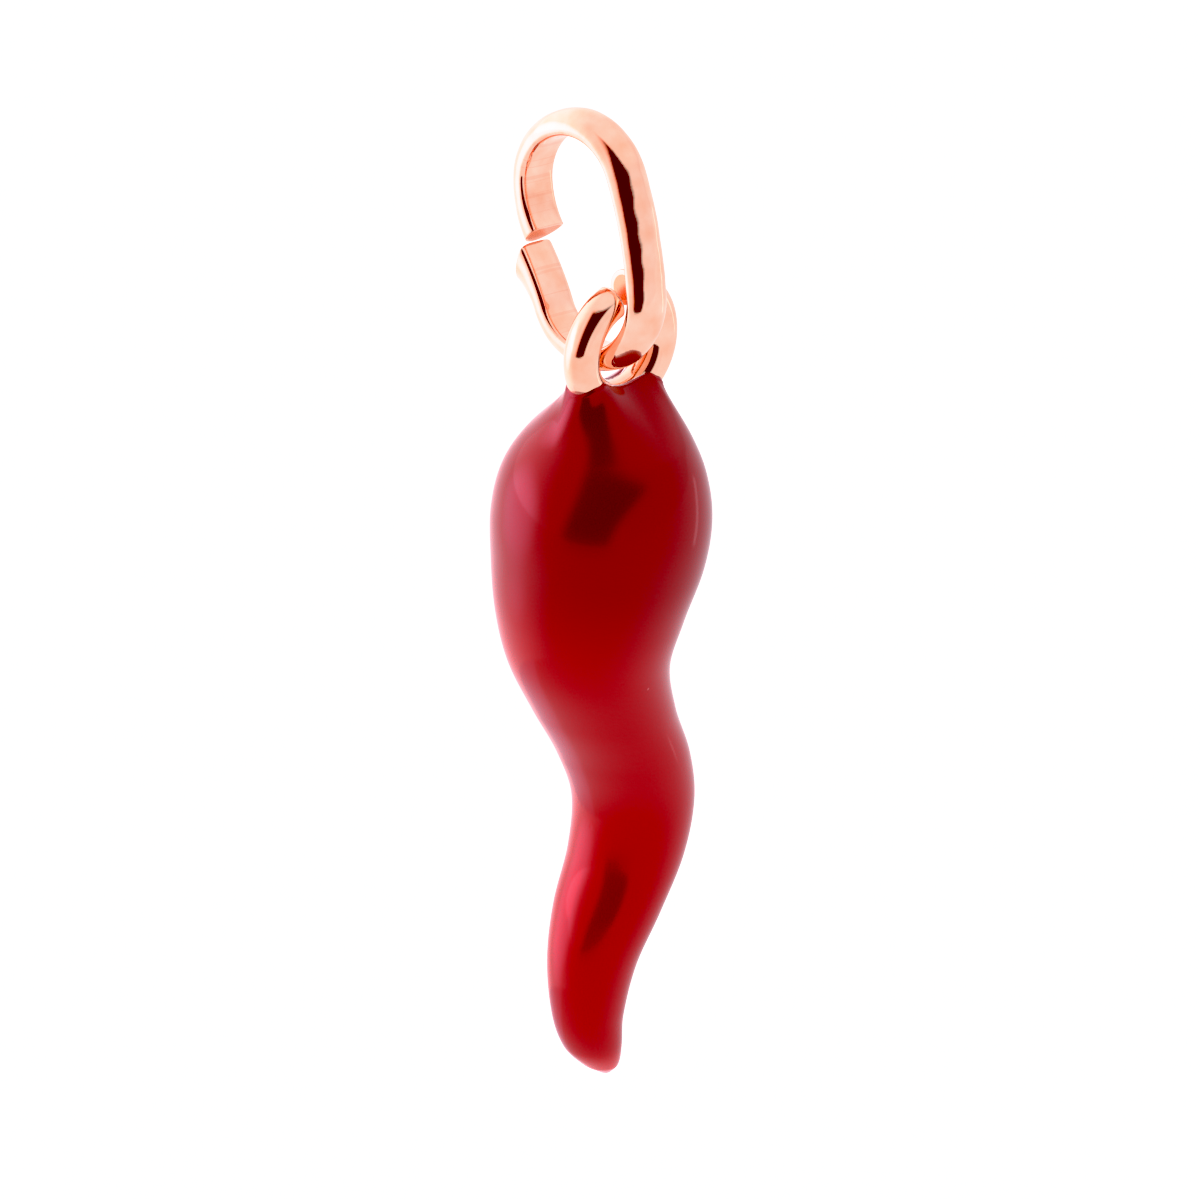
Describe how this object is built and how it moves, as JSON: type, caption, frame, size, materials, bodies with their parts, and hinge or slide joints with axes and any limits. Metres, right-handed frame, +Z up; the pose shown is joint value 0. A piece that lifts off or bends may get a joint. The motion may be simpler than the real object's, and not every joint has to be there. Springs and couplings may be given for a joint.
{
  "type": "cornicello horn pendant",
  "caption": "Red enamelled horn charm with an S-shaped curve, hanging by the eye in its neck from an oval rose-gold link that goes on a chain.",
  "frame": {"origin": "the seat of the chain: the middle of the inside of the link's top", "axes": "+Z up; X is the axis of the eye, about which the horn swings; the horn's S-curve lies in the YZ plane, with its lower bend towards +Y"},
  "size_m": [0.008, 0.0073, 0.0311],
  "materials": {
    "rose_gold": "polished",
    "red_enamel": "glossy"
  },
  "bodies": {
    "link": {"oval_link": "rose_gold"},
    "horn": {"horn_core": "rose_gold", "enamel_coat": "red_enamel"}
  },
  "joints": [
    {"name": "horn_swing", "type": "hinge", "parent": "link", "child": "horn", "pos_m": [0.00279, -0.00025, -0.0059], "axis": [1, 0, 0], "range_deg": [-110, 110]}
  ]
}
